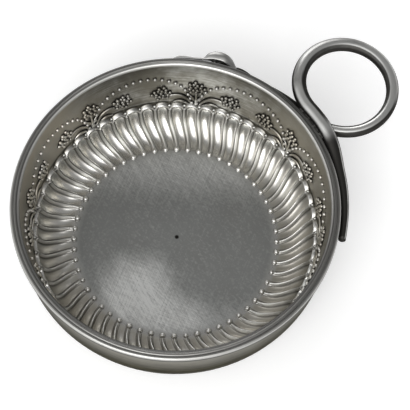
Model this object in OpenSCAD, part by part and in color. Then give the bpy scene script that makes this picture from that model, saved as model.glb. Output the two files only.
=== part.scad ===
// Wine taster: a fluted bowl with a soldered serpent ring handle.
// Millimetres, +Z up. The base rests on z = 0 round the origin and the handle points along +X.

/* [Bowl] */
// Diameter over the rim moulding
rim_d = 84; // [78:1:96]
// Height of the lip over the table
bowl_h = 26.2; // [23:0.2:34]
// Diameter of the flat floor
floor_d = 54; // [46:1:60]
// Height of the fluted corner between floor and wall
corner_h = 10; // [8:0.5:11]
// Share of the space between floor and lip that the fluted corner takes
corner_share = 0.8; // [0.7:0.02:0.84]
// Height of the plain corner between the base and the outside of the wall
foot_h = 12.2; // [11.6:0.2:13]
// Width by which the base is wider than the floor, all round
base_step = 1.2; // [0.6:0.2:1.4]
// Width of the ledge on top of the flutes
ledge_w = 0.7; // [0.3:0.1:1]
// Thickness of the floor and of the lip
sheet_t = 0.9; // [0.7:0.1:1.2]

/* [Flutes] */
// Number of flutes round the corner
flute_count = 56; // [40:1:64]
// Depth of a flute below the round of the corner
flute_depth = 0.9; // [0.4:0.1:1]
// Height of a ridge line over the round of the corner
ridge_h = 0.4; // [0.2:0.1:0.5]
// Mean turn of a ridge between its floor end and its top, in degrees
flute_swirl = 5; // [0:0.5:8]
// Height of the bead at the floor end of each ridge
bead_h = 0.6; // [0.3:0.1:0.9]
// Width of the same bead along the ridge
bead_l = 1.5; // [1:0.1:2]

/* [Grape sprigs] */
// Number of sprigs round the inside of the wall
sprig_count = 8; // [6:1:8]
// Angle from the handle to the middle of a sprig
sprig_angle = -1.5; // [-20:0.5:20]
// Width of a bunch of grapes
bunch_w = 5.2; // [4:0.2:6]
// Length of a bunch up the wall
bunch_l = 5.8; // [4:0.2:6]
// Height of a bunch over the wall
bunch_h = 0.8; // [0.4:0.1:1]
// Width of the leaves at the foot of a sprig
leaf_w = 9; // [6:0.5:10]
// Length of the leaves up the wall
leaf_l = 5; // [3:0.5:6]
// Height of the leaves over the wall
leaf_h = 0.4; // [0.2:0.1:0.6]

/* [Rim] */
// Thickness of the moulding wire
moulding_d = 2.3; // [2:0.1:3]
// Width of the moulding outside the wall
moulding_w = 1.6; // [1.4:0.1:1.9]
// Drop from the lip to the top of the moulding
lip_step = 0.4; // [0.2:0.1:0.8]
// Height of the solder line between the moulding and the lip
rim_solder_h = 0.3; // [0.2:0.05:0.35]

/* [Serpent] */
// Inside diameter of the finger ring
ring_d = 21.4; // [18:0.2:26]
// Thickest part of the wire, where the ring comes back to the bowl
wire_d = 4; // [3.2:0.1:4.6]
// Thickness of the wire where it first leaves the bowl
limb_d = 3.1; // [2.6:0.1:3.2]
// Thickness of the neck
neck_d = 2.4; // [2:0.1:2.6]
// Thickness of the tail end, across the wall
tail_t = 2; // [1.6:0.1:2.6]
// Height of the tail end, along the wall
tail_h = 3; // [2.4:0.1:3.4]
// Angle from the handle to the end of the tail
tail_angle = 50; // [44:1:60]
// Angle from the handle to the back of the head
head_angle = 30; // [28:1:34]
// Length of the head
head_l = 8.2; // [6:0.2:9]
// Width of the head
head_w = 3.3; // [2.8:0.1:3.8]
// Height of the head
head_h = 3; // [2.4:0.1:3.4]
// Length of the tongue
tongue_l = 8.5; // [6:0.5:10]
// Distance that the limb stands off the wall where it leaves the bowl
limb_out = 1; // [0:0.2:1.4]
// Width of the solder between the serpent and the rim
solder_w = 0.4; // [0.3:0.1:0.8]

/* [Hidden] */
silver = [0.72, 0.71, 0.69];
solder_grey = [0.55, 0.54, 0.52];
$fn = 96;

// Clearance at a soldered fit
fit = 0.05;
rim_r = rim_d / 2;
floor_r = floor_d / 2;
// The outside of the wall is upright
outer_r = rim_r - moulding_w;
lip_r = outer_r - sheet_t;
corner_w = corner_share * (lip_r - floor_r);
base_r = floor_r + base_step;
foot_w = outer_r - base_r;

function smooth(t) = let (u = min(1, max(0, t))) u * u * (3 - 2 * u);
function mix(a, b, t) = a + (b - a) * t;
function polar(r, angle, z) = [r * cos(angle), r * sin(angle), z];

// Skins a list of closed sections that all have the same number of points
module skin(sections) {
    count = len(sections[0]);
    last = (len(sections) - 1) * count;
    points = [for (section = sections) each section];
    start_cap = [for (j = [count - 1 : -1 : 0]) j];
    end_cap = [for (j = [0 : count - 1]) last + j];
    bands = [for (i = [0 : len(sections) - 2]) for (j = [0 : count - 1])
        let (k = (j + 1) % count, a = i * count + j, b = i * count + k)
        each [[a, b, b + count], [a, b + count, a + count]]];
    polyhedron(points, concat([start_cap], bands, [end_cap]));
}

// Bowl: rows from the floor out to the lip and back under the plain outside.
// Each row is [r, z, outward r, outward z, angle along the corner, share of the way up the wall].
// The share is -1 on the floor and the corner.
columns_across = [-0.5, -0.32, 0, 0.32];
column_count = flute_count * len(columns_across);
arc_z = sheet_t + corner_h;
arc_end = 81;
degrees_per_mm = 180 / (PI * corner_h);
lip_round = sheet_t / 3;
wall_foot_r = floor_r + corner_w * sin(arc_end) + ledge_w;
wall_foot_z = arc_z - corner_h * cos(arc_end) + ledge_w / 2;
wall_h = bowl_h - lip_round - wall_foot_z;

function arc_row(b) =
    let (out = [corner_h * sin(b), -corner_w * cos(b)], n = out / norm(out))
    [floor_r + corner_w * sin(b), arc_z - corner_h * cos(b), n[0], n[1], b, -1];
function floor_row(r) = [r, sheet_t, 0, -1, (r - floor_r) * degrees_per_mm, -1];
function upright_row(r, z) = [r, z, 1, 0, arc_end, 1];
function wall_row(share) =
    [mix(wall_foot_r, lip_r, share), wall_foot_z + share * wall_h, 1, 0, arc_end, share];
function foot_row(b) = upright_row(base_r + foot_w * sin(b), foot_h * (1 - cos(b)));

// Flutes: each is a round-topped hollow with a raised line round it, under a ledge
flute_start = 26;
flute_top = arc_end - 5;
flute_edge = 0.3;
line_half_w = 0.35;
line_start = 4;
ledge_edge = [0.15, 0.6];
// The ridges lean more on one side of the bowl, and run straight up from here
swirl_spread = 2;
swirl_side = 80;
swirl_end = flute_top - 20;

function swirl_at(angle, b) =
    (flute_swirl - swirl_spread * cos(angle - swirl_side)) * smooth(b / swirl_end);
function flute_at(x, r, b) =
    let (half = r * PI / flute_count,
         rise = max(0, (b - flute_top) / degrees_per_mm + half),
         inside = half - norm([2 * x * half, rise]),
         share = min(1, max(0, (inside - flute_edge) / (half - flute_edge))),
         off_line = min(1, abs(inside) / line_half_w))
    flute_depth * sqrt(1 - pow(1 - share, 2)) * smooth(b / flute_start)
    - ridge_h * pow(1 - off_line * off_line, 2) * smooth((b + line_start) / (2 * line_start))
    + ledge_w * smooth((-inside - ledge_edge[0]) / (ledge_edge[1] - ledge_edge[0]));

// Sprigs: three bunches and a fan of leaves, as low rounds on the wall.
// Each is [share of a sprig beside its middle, share up the wall, width, length, height].
sprig_step = 360 / sprig_count;
bunch_places = [[0, 0.43], [-0.324, 0.243], [0.324, 0.243]];
leaf_place = [0, 0.06];
sprig_forms = concat([for (p = bunch_places) [p[0], p[1], bunch_w, bunch_l, bunch_h]],
                     [[leaf_place[0], leaf_place[1], leaf_w, leaf_l, leaf_h]]);

function form_at(form, beside, up) =
    let (x = (beside - form[0]) * sprig_step * PI / 180 * lip_r, y = (up - form[1]) * wall_h)
    form[4] * sqrt(max(0, 1 - pow(2 * x / form[2], 2) - pow(2 * y / form[3], 2)));
function sprig_at(angle, up) =
    let (turn = (angle - sprig_angle) / sprig_step, beside = turn - round(turn))
    max([for (form = sprig_forms) form_at(form, beside, up)]);

// The rows stand closer where the relief turns: at the tops of the flutes and across the bunches
corner_angles = [13, 26, 39, 52, 63, 71, flute_top, arc_end];
wall_shares = [0, 0.06, 0.155, 0.243, 0.33, 0.43, 0.52, 0.61, 1];

module bowl() {
    bead_rows = [floor_row(floor_r - bead_l / 2), floor_row(floor_r), arc_row(6)];
    corner_rows = [for (b = corner_angles) arc_row(b)];
    wall_rows = [for (share = wall_shares) wall_row(share)];
    lip_low = upright_row(outer_r, bowl_h - lip_round);
    lip_top = upright_row(lip_r, bowl_h);
    foot_steps = 5;
    function place(row, column, out) =
        let (x = columns_across[column % len(columns_across)],
             start = (floor(column / len(columns_across)) + x) * 360 / flute_count,
             angle = start + swirl_at(start, row[4]),
             move = out + (row[5] < 0 ? flute_at(x, row[0], row[4]) : -sprig_at(angle, row[5])))
        polar(row[0] + row[2] * move, angle, row[1] + row[3] * move);
    function ring(row, out) = [for (c = [0 : column_count - 1]) place(row, c, out)];
    function bead_ring(row) = [for (c = [0 : column_count - 1])
        place(row, c, c % len(columns_across) == 0 ? -bead_h : 0)];
    color(silver)
    skin(concat(
        [ring(bead_rows[0], 0), bead_ring(bead_rows[1]), ring(bead_rows[2], 0)],
        [for (row = concat(corner_rows, wall_rows)) ring(row, 0)],
        [ring(lip_top, lip_round), ring(lip_top, sheet_t - lip_round), ring(lip_low, 0)],
        [for (i = [foot_steps : -1 : 0]) ring(foot_row(90 * i / foot_steps), 0)]));
}

// Rim: a round wire filed flat where it lies against the wall
moulding_r = moulding_d / 2;
moulding_x = rim_r - moulding_r;
moulding_z = bowl_h - lip_step - moulding_r;

module rim_moulding() {
    color(silver)
    rotate_extrude()
    intersection() {
        translate([moulding_x, moulding_z]) circle(r = moulding_r);
        translate([outer_r + fit, moulding_z - moulding_d]) square(2 * moulding_d);
    }
}

module rim_solder() {
    low = moulding_z + moulding_r + fit;
    color(solder_grey)
    rotate_extrude()
    polygon([[outer_r + fit, low], [moulding_x, low], [outer_r + fit, low + rim_solder_h]]);
}

// Serpent: one wire from the neck, along the wall, round the ring and back over itself to the tail
wire_r = wire_d / 2;
limb_r = limb_d / 2;
neck_r = neck_d / 2;
tail_r = tail_t / 2;
tail_half_h = tail_h / 2;
ring_centre_r = ring_d / 2 + (wire_r + limb_r) / 2;
ring_x = rim_r + solder_w + wire_r + ring_centre_r;

// Angles from the handle, in degrees, at which the strands change course.
// The neck is level over the last of them, before the head.
limb_leave = 4;
limb_settle = 23;
neck_level = 1;
ring_start = 228;
ring_end = 540;
tail_leave = -6;
tail_settle = -26;
// Angles by which the tail and the back of the head lie below the middle of the moulding
tail_droop = 38;
head_droop = 50;

// A place round the middle of the moulding: reach from it, angle below it, angle round the bowl
function round_rim(reach, below, angle) =
    polar(moulding_x + reach * cos(below), angle, moulding_z - reach * sin(below));

// Under the ring the limb runs along the wall, below the strand that crosses over it
limb_z = moulding_z - wire_r - limb_r - fit;
limb_x = outer_r + fit + limb_r;
limb_reach = norm([limb_x - moulding_x, limb_z - moulding_z]);
limb_below = atan2(moulding_z - limb_z, limb_x - moulding_x);
neck_reach = moulding_r + solder_w + neck_r;

// Sections along the wire: [place, half thickness across, half height]
neck_steps = 26;
neck_part = [for (i = [0 : neck_steps])
    let (angle = mix(head_angle, limb_leave, i / neck_steps),
         up = smooth((angle - limb_settle) / (head_angle - neck_level - limb_settle)),
         out = limb_out * smooth((limb_settle - angle) / (limb_settle - limb_leave)),
         below = mix(limb_below, head_droop, up),
         t = mix(limb_r, neck_r, up))
    [round_rim(mix(limb_reach, neck_reach, up), below, angle) + polar(out, angle, 0), t, t]];

ring_part = [for (i = [0 : 44])
    let (u = i / 44, angle = mix(ring_start, ring_end, u), t = mix(limb_r, wire_r, u))
    [[ring_x + ring_centre_r * cos(angle), ring_centre_r * sin(angle), mix(limb_z, moulding_z, smooth(u))],
     t, t]];

tail_steps = 22;
tail_part = [for (i = [1 : tail_steps])
    let (angle = -tail_angle * i / tail_steps,
         down = smooth((tail_leave - angle) / (tail_leave - tail_settle)),
         taper = smooth((tail_leave - angle) / (tail_leave + tail_angle)),
         t = mix(wire_r, tail_r, taper),
         h = mix(wire_r, tail_half_h, taper),
         gap = mix(solder_w, fit, down))
    [round_rim(moulding_r + gap + max(t, h), tail_droop * down, angle), t, h]];

function bezier(a, b, c, d, t) =
    a * pow(1 - t, 3) + 3 * b * t * pow(1 - t, 2) + 3 * c * t * t * (1 - t) + d * pow(t, 3);
// Curve that carries on from one stretch of the wire and meets the start of the next
function join_part(from, to, steps) =
    let (last = len(from) - 1,
         a = from[last][0], d = to[0][0], reach = norm(d - a) / 3,
         leave = a - from[last - 1][0], meet = to[1][0] - d,
         b = a + leave * reach / norm(leave), c = d - meet * reach / norm(meet),
         t0 = from[last][1], t1 = to[0][1])
    [for (i = [1 : steps - 1]) let (u = i / steps, t = mix(t0, t1, u)) [bezier(a, b, c, d, u), t, t]];

wire_line = concat(neck_part, join_part(neck_part, ring_part, 6), ring_part, tail_part);

// Sections of a wire, each square to its line
wire_sides = 12;
function wire_sections(line) = [for (i = [0 : len(line) - 1])
    let (back = line[max(0, i - 1)][0], ahead = line[min(len(line) - 1, i + 1)][0],
         along = (ahead - back) / norm(ahead - back),
         side_raw = cross(along, [0, 0, 1]), side = side_raw / norm(side_raw), up = cross(side, along))
    [for (k = [0 : wire_sides - 1]) let (a = 360 * k / wire_sides)
        line[i][0] + side * line[i][1] * cos(a) + up * line[i][2] * sin(a)]];

module serpent_body() {
    color(silver) skin(wire_sections(wire_line));
}

// Head and tongue lie along the rim: [share of the length, half width, half height].
// The back of the head rises from the neck, which lies under the moulding.
head_shape = [[0, 0.66, 0.72], [0.05, 0.68, 0.74], [0.15, 0.74, 0.78], [0.35, 0.9, 0.92], [0.58, 1, 1],
              [0.76, 0.95, 0.9], [0.9, 0.72, 0.66], [1, 0.4, 0.36]];
tongue_shape = [[0.08, 0.34, 0.3], [0.4, 0.32, 0.28], [0.62, 0.5, 0.36], [0.82, 0.58, 0.4], [1, 0.2, 0.15]];
// Shares of the head between which it rises to the level of the rim
head_rise = [0.05, 0.5];
head_sweep = head_l / rim_r * 180 / PI;
tongue_sweep = tongue_l / rim_r * 180 / PI;
// The head starts a little clear of the end of the neck
head_start = head_angle + 2 * fit;
function head_below(share) = head_droop * (1 - smooth((share - head_rise[0]) / (head_rise[1] - head_rise[0])));
function head_part(angle, below, gap, half_w, half_h) =
    [round_rim(moulding_r + gap + half_w, below, angle), half_w, half_h];
head_line = concat(
    [for (s = head_shape)
        head_part(head_start + s[0] * head_sweep, head_below(s[0]), solder_w,
                  s[1] * head_w / 2, s[2] * head_h / 2)],
    [for (s = tongue_shape)
        head_part(head_start + head_sweep + s[0] * tongue_sweep, 0, mix(solder_w, fit, s[0]), s[1], s[2])]);

module serpent_head() {
    color(silver) skin(wire_sections(head_line));
}

// Solder in the groove between the moulding and a round body beside it, over a span of angles
solder_low = -0.35 * moulding_r;
solder_top = 0.62 * moulding_r;

module groove_solder(body_r, span) {
    body_x = rim_r + solder_w + body_r;
    color(solder_grey)
    rotate([0, 0, span[0]])
    rotate_extrude(angle = span[1] - span[0])
    translate([0, moulding_z])
    difference() {
        translate([moulding_x, solder_low]) square([body_x - moulding_x, solder_top - solder_low]);
        translate([moulding_x, 0]) circle(r = moulding_r + fit);
        translate([body_x, 0]) circle(r = body_r + fit);
    }
}

// The strand runs along the rim over this span, before the tail droops
crossing_span = [-7, 2];
// Shares of the head's length between which it is soldered
neck_span = [0.5, 0.78];

module crossing_solder() {
    groove_solder(wire_r, crossing_span);
}

module neck_solder() {
    groove_solder(head_w / 2, [for (share = neck_span) head_start + share * head_sweep]);
}

// Solder under the moulding, between the wall and the end of the tail
tail_solder_h = 1.2;
tail_solder_rows = [tail_steps - 7, tail_steps - 2];

module tail_solder() {
    angles = [for (row = tail_solder_rows) -tail_angle * (row + 1) / tail_steps];
    tail_inner_r = min([for (row = tail_solder_rows)
        let (part = tail_part[row]) norm([part[0][0], part[0][1]]) - part[1]]);
    color(solder_grey)
    rotate([0, 0, angles[1]])
    rotate_extrude(angle = angles[0] - angles[1])
    translate([outer_r + fit, moulding_z - moulding_r - fit - tail_solder_h])
    square([tail_inner_r - outer_r - 2 * fit, tail_solder_h]);
}

bowl();
rim_moulding();
rim_solder();
serpent_body();
serpent_head();
neck_solder();
crossing_solder();
tail_solder();
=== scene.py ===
"""Aged silver wine taster with a serpent ring handle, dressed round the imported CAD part."""
import math

import bmesh
import bpy
import numpy as np
from mathutils import Matrix, Vector


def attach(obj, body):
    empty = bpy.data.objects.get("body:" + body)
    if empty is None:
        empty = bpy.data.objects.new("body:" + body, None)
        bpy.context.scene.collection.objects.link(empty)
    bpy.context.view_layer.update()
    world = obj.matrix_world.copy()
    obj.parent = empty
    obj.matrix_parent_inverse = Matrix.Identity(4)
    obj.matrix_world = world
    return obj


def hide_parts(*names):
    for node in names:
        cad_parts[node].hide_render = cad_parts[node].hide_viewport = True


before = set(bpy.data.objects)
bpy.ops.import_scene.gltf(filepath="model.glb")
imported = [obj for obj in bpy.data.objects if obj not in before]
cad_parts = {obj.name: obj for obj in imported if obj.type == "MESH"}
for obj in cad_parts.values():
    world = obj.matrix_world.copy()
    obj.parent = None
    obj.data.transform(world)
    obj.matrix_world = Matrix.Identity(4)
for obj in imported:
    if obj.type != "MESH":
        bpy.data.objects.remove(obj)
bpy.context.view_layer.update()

# Sizes are in millimetres and angles in degrees, as in the CAD source. Meshes are made in metres.
MM = 0.001

# Bowl
RIM_R = 42.0
BOWL_H = 26.2
FLOOR_R = 27.0
CORNER_R = 10.0
SHEET_T = 0.9
FLUTES = 56
FLUTE_DEPTH = 0.9
FOOT_R = 12.2
LEDGE_W = 0.7
MOULDING_W = 1.6

# Rim
MOULDING_R = 1.15
LIP_STEP = 0.4
MOULDING_X = RIM_R - MOULDING_R
MOULDING_Z = BOWL_H - LIP_STEP - MOULDING_R

# Serpent
RING_R = 10.7
WIRE_R = 2.0
LIMB_R = 1.55
NECK_R = 1.2
TAIL_R = 1.0
TAIL_HALF_H = 1.5
TAIL_ANGLE = 50.0
HEAD_ANGLE = 30.0
HEAD_L = 8.2
HEAD_W = 3.3
HEAD_H = 3.0
TONGUE_L = 8.5
SOLDER_W = 0.4
FIT = 0.05

# Profile: a flat floor, a round corner, a ledge over it, a leaning wall inside and an upright one outside
OUTER_R = RIM_R - MOULDING_W
LIP_R = OUTER_R - SHEET_T
ARC_Z = SHEET_T + CORNER_R
ARC_END = 81.0
FLUTE_TOP = ARC_END - 5
DEGREES_PER_MM = math.degrees(1 / CORNER_R)

# Ridges between the flutes lean round the axis: by how many degrees, how much that changes round the bowl,
# the bearing where it is least and how far along the corner it is complete
LEAN = 5.0
LEAN_CHANGE = 2.0
LEAN_LEAST = 80.0
LEAN_TOP = 56.0


def cosd(angle):
    return math.cos(math.radians(angle))


def sind(angle):
    return math.sin(math.radians(angle))


def polar(radius, angle, height):
    return np.array([radius * cosd(angle), radius * sind(angle), height])


def mix(a, b, share):
    return a + (b - a) * share


def smooth(value, start, end):
    """0 up to start, 1 from end on, with a soft passage between."""
    share = min(1.0, max(0.0, (value - start) / (end - start)))
    return share * share * (3 - 2 * share)


WALL_FOOT_R = FLOOR_R + CORNER_R * sind(ARC_END) + LEDGE_W
WALL_FOOT_Z = ARC_Z - CORNER_R * cosd(ARC_END) + LEDGE_W / 2
WALL_TILT = math.degrees(math.atan2(LIP_R - WALL_FOOT_R, BOWL_H - WALL_FOOT_Z))


def wall_in(height):
    """Radius of the inside of the wall at a height."""
    return WALL_FOOT_R + (height - WALL_FOOT_Z) * math.tan(math.radians(WALL_TILT))


class Socket:
    """An output of a node that takes part in Python arithmetic."""

    def __init__(self, plan, socket):
        self.plan = plan
        self.socket = socket

    def __getitem__(self, name):
        return Socket(self.plan, self.plan.pick(self.socket.node.outputs, name))

    def __add__(self, other):
        return self.plan.math("ADD", self, other)

    def __sub__(self, other):
        return self.plan.math("SUBTRACT", self, other)

    def __rsub__(self, other):
        return self.plan.math("SUBTRACT", other, self)

    def __mul__(self, other):
        return self.plan.math("MULTIPLY", self, other)

    def __truediv__(self, other):
        return self.plan.math("DIVIDE", self, other)

    def __rtruediv__(self, other):
        return self.plan.math("DIVIDE", other, self)

    def __pow__(self, other):
        return self.plan.math("POWER", self, other)

    def __abs__(self):
        return self.plan.math("ABSOLUTE", self)

    # Order does not matter in these two. A sum starts from 0, so its first term needs the reflected form.
    __radd__ = __add__
    __rmul__ = __mul__


class Plan:
    """A node tree under construction, for a material or for geometry."""

    def __init__(self, tree):
        self.tree = tree

    @staticmethod
    def pick(sockets, name):
        """A socket by its number, or a live one by its name or identifier."""
        if isinstance(name, int):
            return sockets[name]
        return next(s for s in sockets if s.enabled and name in (s.name, s.identifier))

    def node(self, kind, settings=None, inputs=None):
        """Adds a node, sets it up, feeds its sockets and gives its first live output."""
        node = self.tree.nodes.new(kind)
        for name, value in (settings or {}).items():
            setattr(node, name, value)
        for name, value in (inputs or {}).items():
            socket = self.pick(node.inputs, name)
            if isinstance(value, Socket):
                self.tree.links.new(value.socket, socket)
            else:
                socket.default_value = value
        live = [s for s in node.outputs if s.enabled]
        return Socket(self, live[0]) if live else node

    def math(self, operation, *values):
        return self.node("ShaderNodeMath", {"operation": operation}, dict(enumerate(values)))

    def smooth(self, value, low, high):
        """0 up to low, 1 from high on, with a soft passage between."""
        return self.node("ShaderNodeMapRange", {"interpolation_type": "SMOOTHSTEP"},
                         {"Value": value, "From Min": low, "From Max": high})

    def vector(self, x, y, z):
        return self.node("ShaderNodeCombineXYZ", None, {"X": x, "Y": y, "Z": z})

    def blend(self, factor, a, b, kind="MIX"):
        """Mixes two colours."""
        return self.node("ShaderNodeMix", {"data_type": "RGBA", "blend_type": kind},
                         {"Factor_Float": factor, "A_Color": a, "B_Color": b})["Result_Color"]

    def mark(self, name):
        """A value that the mesh carries at each point, or 0 where it has none."""
        return self.node("ShaderNodeAttribute", {"attribute_name": name})["Fac"]

    def noise(self, place, scale, detail=2.0, roughness=0.5):
        return self.node("ShaderNodeTexNoise", None,
                         {"Vector": place, "Scale": scale, "Detail": detail, "Roughness": roughness})


class Shape(Plan):
    """A Geometry Nodes tree with named inputs, run once on an object to give a plain mesh."""

    def __init__(self, name, sizes):
        super().__init__(bpy.data.node_groups.new(name, "GeometryNodeTree"))
        face = self.tree.interface
        face.new_socket("Geometry", in_out="INPUT", socket_type="NodeSocketGeometry")
        face.new_socket("Geometry", in_out="OUTPUT", socket_type="NodeSocketGeometry")
        self.sizes = {face.new_socket(label, in_out="INPUT", socket_type="NodeSocketFloat").identifier: value
                      for label, value in sizes.items()}
        self.start = self.node("NodeGroupInput")

    def size(self, label):
        return self.start[label]

    def attribute(self, name, kind="FLOAT"):
        return self.node("GeometryNodeInputNamedAttribute", {"data_type": kind}, {"Name": name})

    def keep(self, geometry, name, value):
        """Keeps a value at each point under a name, for the material."""
        return self.node("GeometryNodeStoreNamedAttribute", {"data_type": "FLOAT", "domain": "POINT"},
                         {"Geometry": geometry, "Name": name, "Value": value})

    def random(self, low, high, seed, **more):
        return self.node("FunctionNodeRandomValue", {"data_type": "FLOAT"},
                         {"Min": low, "Max": high, "Seed": seed, **more})

    def swirl(self, geometry, turn, along):
        """Turns points round the axis by the lean of the ridges: an S, stronger on one side of the bowl."""
        bearing = turn * (2 * math.pi / FLUTES)
        strength = LEAN - LEAN_CHANGE * self.math("COSINE", bearing - math.radians(LEAN_LEAST))
        lean = strength * self.smooth(along, 0.0, LEAN_TOP) * math.radians(1)
        turned = self.node("ShaderNodeVectorRotate", {"rotation_type": "Z_AXIS"},
                           {"Vector": self.node("GeometryNodeInputPosition"), "Angle": lean})
        return self.node("GeometryNodeSetPosition", None, {"Geometry": geometry, "Position": turned})

    def put_on(self, points, thing, scale):
        """A copy of a thing on each point."""
        return self.node("GeometryNodeInstanceOnPoints", None,
                         {"Points": points, "Instance": thing, "Scale": scale})

    def copies_round(self, geometry, count, phase, sway):
        """Copies of a geometry turned round the bowl's axis, each a little out of place."""
        points = self.node("GeometryNodePoints", None, {"Count": count})
        index = self.node("GeometryNodeInputIndex")
        drift = self.random(-1.0, 1.0, 3) * sway
        turn = self.vector(0.0, 0.0, (index * (360 / count) + phase + drift) * math.radians(1))
        return self.node("GeometryNodeInstanceOnPoints", None,
                         {"Points": points, "Instance": geometry, "Rotation": turn})

    def finish(self, geometry, material):
        """Ends the tree with one smooth mesh of a material."""
        solid = self.node("GeometryNodeRealizeInstances", None, {"Geometry": geometry})
        soft = self.node("GeometryNodeSetShadeSmooth", None, {"Geometry": solid})
        painted = self.node("GeometryNodeSetMaterial", None, {"Geometry": soft, "Material": material})
        self.node("NodeGroupOutput", None, {"Geometry": painted})

    def run(self, base, name):
        """Applies the tree to a base object and returns the result as a plain mesh object."""
        modifier = base.modifiers.new("shape", "NODES")
        modifier.node_group = self.tree
        for identifier, value in self.sizes.items():
            modifier[identifier] = value
        graph = bpy.context.evaluated_depsgraph_get()
        mesh = bpy.data.meshes.new_from_object(base.evaluated_get(graph))
        bpy.data.objects.remove(base)
        mesh.name = name
        piece = bpy.data.objects.new(name, mesh)
        bpy.context.collection.objects.link(piece)
        return piece


def give_marks(piece, marks):
    """Keeps a value for each point of a mesh under a name."""
    for name, values in marks.items():
        layer = piece.data.attributes.new(name, "FLOAT", "POINT")
        layer.data.foreach_set("value", np.asarray(values, np.float32))


def mesh_object(name, points, faces, material=None):
    """Makes an object from points in millimetres, with its faces turned outwards."""
    mesh = bpy.data.meshes.new(name)
    mesh.from_pydata((np.asarray(points) * MM).tolist(), [], faces)
    work = bmesh.new()
    work.from_mesh(mesh)
    bmesh.ops.recalc_face_normals(work, faces=work.faces)
    work.to_mesh(mesh)
    work.free()
    mesh.polygons.foreach_set("use_smooth", [True] * len(mesh.polygons))
    if material:
        mesh.materials.append(material)
    piece = bpy.data.objects.new(name, mesh)
    bpy.context.collection.objects.link(piece)
    return piece


def curve_object(name, lines):
    """Makes a poly curve from lists of (point in millimetres, radius in millimetres)."""
    curve = bpy.data.curves.new(name, "CURVE")
    curve.dimensions = "3D"
    for line in lines:
        spline = curve.splines.new("POLY")
        spline.points.add(len(line) - 1)
        for point, (place, radius) in zip(spline.points, line):
            point.co = (*(np.asarray(place) * MM), 1)
            point.radius = radius * MM
    piece = bpy.data.objects.new(name, curve)
    bpy.context.collection.objects.link(piece)
    return piece


def skin_faces(rows, count):
    """Faces of a closed tube of rows with the same number of points, with both ends capped."""
    faces = [list(range(count))[::-1], [(rows - 1) * count + j for j in range(count)]]
    for i in range(rows - 1):
        for j in range(count):
            k = (j + 1) % count
            faces.append([i * count + j, i * count + k, (i + 1) * count + k, (i + 1) * count + j])
    return faces


# Materials

# The far side of the bowl lies towards this bearing; painted light and shade on the flutes, wall, lip, rim
# and floor follow it
FAR_BEARING = 49.3

# Radii and heights between which one part of the bowl passes into the next
FLOOR_EDGE = (25.0, 27.5)
FLOOR_HIGHEST = (1.5, 2.5)
WALL_START = (9.4, 10.4)
LIP_START = (25.3, 25.8)
LIP_INNER_EDGE = (39.75, 40.1)

# Marks on the floor: scratches as (direction, fineness), lighter spots as (x, y, reach, strength) and a pit
SCRATCHES = [(7, 3.4), (-12, 2.1), (31, 4.4), (-58, 3.0)]
LIGHT_SPOTS = [(-17.0, -5.0, 15.0, 1.0), (-12.5, -18.5, 9.0, 0.5)]
PIT = (0.9, 0.6)
PIT_EDGE = (0.35, 0.75)

# Tones, as linear colours
FLOOR_DULL = (0.34, 0.346, 0.336, 1)
# Lighter floor: scratches, lighter spots and painted light along the far and near sides
FLOOR_BRIGHT = (0.92, 0.925, 0.905, 1)
WALL_LIGHT = (0.72, 0.67, 0.575, 1)
WALL_BROWN = (0.5, 0.467, 0.395, 1)
# Painted shade on the far side of the wall
WALL_FAR_SHADE = (0.18, 0.169, 0.142, 1)
LEDGE_DARK = (0.1, 0.095, 0.078, 1)
LIP_DULL = (0.15, 0.148, 0.142, 1)
# Painted highlight on the lip's inner edge
LIP_PAINTED_HIGHLIGHT = (0.8, 0.795, 0.77, 1)
FLUTE_DULL = (0.42, 0.397, 0.345, 1)
# Painted light on the flutes towards the far side
FLUTE_PAINTED_LIGHT = (0.84, 0.83, 0.79, 1)
STREAK_DARK = (0.045, 0.042, 0.028, 1)
STREAK_LIGHT = (0.115, 0.108, 0.077, 1)
# Painted shade on the far side
FAR_PAINTED_SHADE = (0.13, 0.129, 0.125, 1)
# Worn edges and painted highlights
WEAR_AND_HIGHLIGHT_BRIGHT = (0.88, 0.875, 0.85, 1)
CLOUD_TINT = (0.8, 0.79, 0.77, 1)
# Tarnish, soil and painted shade
TARNISH_SOIL_AND_SHADE_DARK = (0.03, 0.028, 0.025, 1)


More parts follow.
